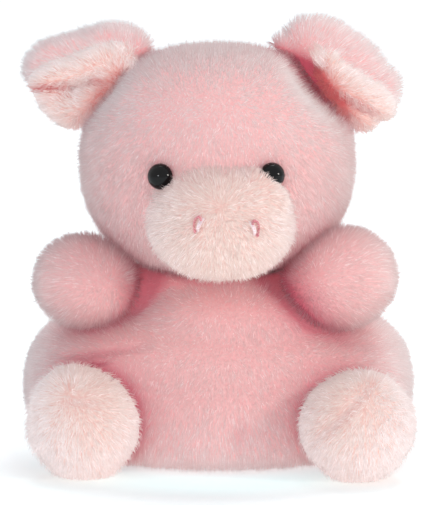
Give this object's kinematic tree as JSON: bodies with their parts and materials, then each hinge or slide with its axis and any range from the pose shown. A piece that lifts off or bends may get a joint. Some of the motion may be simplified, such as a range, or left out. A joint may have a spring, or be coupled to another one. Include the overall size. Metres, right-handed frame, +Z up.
{
  "type": "plush toy",
  "caption": "Palm-size seated plush pig with a round head, floppy folded ears, stuffed arms and feet and a bean-filled body.",
  "frame": {"origin": "on the floor under the toy's neck, in the middle of the flat underside of the body", "axes": "+Z up, the face looks along -Y, +X to the toy's own left"},
  "size_m": [0.1104, 0.1096, 0.1251],
  "materials": {
    "pink_plush": "matte",
    "pale_plush": "matte",
    "ear_lining": "matte",
    "stuffing_fibre": "matte",
    "pouch_cloth": "matte",
    "pink_thread": "matte",
    "black_eye": "gloss",
    "washer_plastic": "matte",
    "nostril_thread": "satin",
    "nostril_satin": "satin"
  },
  "bodies": {
    "body": {"body_cover": "pink_plush", "body_stuffing": "stuffing_fibre", "bean_pouch": "pouch_cloth"},
    "neck_pad": {"neck_stuffing": "stuffing_fibre"},
    "neck_thread": {"neck_seam_thread": "pink_thread"},
    "head": {"head_cover": "pink_plush", "head_stuffing": "stuffing_fibre", "muzzle_cover": "pale_plush", "muzzle_stuffing": "stuffing_fibre", "right_eye": "black_eye", "right_eye_washer": "washer_plastic", "right_nostril_stitching": "nostril_thread", "right_nostril_patch": "nostril_satin", "left_eye": "black_eye", "left_eye_washer": "washer_plastic", "left_nostril_stitching": "nostril_thread", "left_nostril_patch": "nostril_satin"},
    "tail": {"tail": "pink_plush"},
    "right_arm": {"right_arm_cover": "pink_plush", "right_arm_stuffing": "stuffing_fibre"},
    "right_foot": {"right_foot_cover": "pale_plush", "right_foot_stuffing": "stuffing_fibre"},
    "right_ear": {"right_ear_back": "pink_plush", "right_ear_lining": "ear_lining"},
    "left_arm": {"left_arm_cover": "pink_plush", "left_arm_stuffing": "stuffing_fibre"},
    "left_foot": {"left_foot_cover": "pale_plush", "left_foot_stuffing": "stuffing_fibre"},
    "left_ear": {"left_ear_back": "pink_plush", "left_ear_lining": "ear_lining"}
  },
  "joints": [
    {"name": "head_turn", "type": "hinge", "parent": "body", "child": "neck_pad", "pos_m": [0, -0.001, 0.033], "axis": [0, 0, 1], "range_deg": [-15, 15], "stiffness_Nm_per_rad": 0.03},
    {"name": "head_tilt", "type": "hinge", "parent": "neck_pad", "child": "neck_thread", "pos_m": [0, -0.001, 0.033], "axis": [0, 1, 0], "range_deg": [-4, 4], "stiffness_Nm_per_rad": 0.08},
    {"name": "head_nod", "type": "hinge", "parent": "neck_thread", "child": "head", "pos_m": [0, -0.001, 0.033], "axis": [1, 0, 0], "range_deg": [-4, 6], "stiffness_Nm_per_rad": 0.08},
    {"name": "right_arm_swing", "type": "hinge", "parent": "body", "child": "right_arm", "pos_m": [-0.021, -0.008, 0.047], "axis": [0, 0, 1], "range_deg": [-5, 14], "stiffness_Nm_per_rad": 0.01},
    {"name": "right_foot_lift", "type": "hinge", "parent": "body", "child": "right_foot", "pos_m": [-0.036, -0.018, 0.012], "axis": [-1, 0, 0], "range_deg": [0, 8], "stiffness_Nm_per_rad": 0.02},
    {"name": "right_ear_flap", "type": "hinge", "parent": "head", "child": "right_ear", "pos_m": [-0.02905, 0.002, 0.1048], "axis": [0.644, 0, 0.765], "range_deg": [-12, 15], "stiffness_Nm_per_rad": 0.004},
    {"name": "left_arm_swing", "type": "hinge", "parent": "body", "child": "left_arm", "pos_m": [0.02, -0.009, 0.047], "axis": [0, 0, -1], "range_deg": [-5, 14], "stiffness_Nm_per_rad": 0.01},
    {"name": "left_foot_lift", "type": "hinge", "parent": "body", "child": "left_foot", "pos_m": [0.036, -0.021, 0.012], "axis": [-1, 0, 0], "range_deg": [0, 8], "stiffness_Nm_per_rad": 0.02},
    {"name": "left_ear_flap", "type": "hinge", "parent": "head", "child": "left_ear", "pos_m": [0.0267, 0.002, 0.10525], "axis": [0.7208, 0, -0.6931], "range_deg": [-12, 15], "stiffness_Nm_per_rad": 0.004},
    {"name": "tail_wag", "type": "hinge", "parent": "body", "child": "tail", "pos_m": [0, 0.04294, 0.026], "axis": [1, 0, 0], "range_deg": [-15, 15], "stiffness_Nm_per_rad": 0.0003}
  ]
}
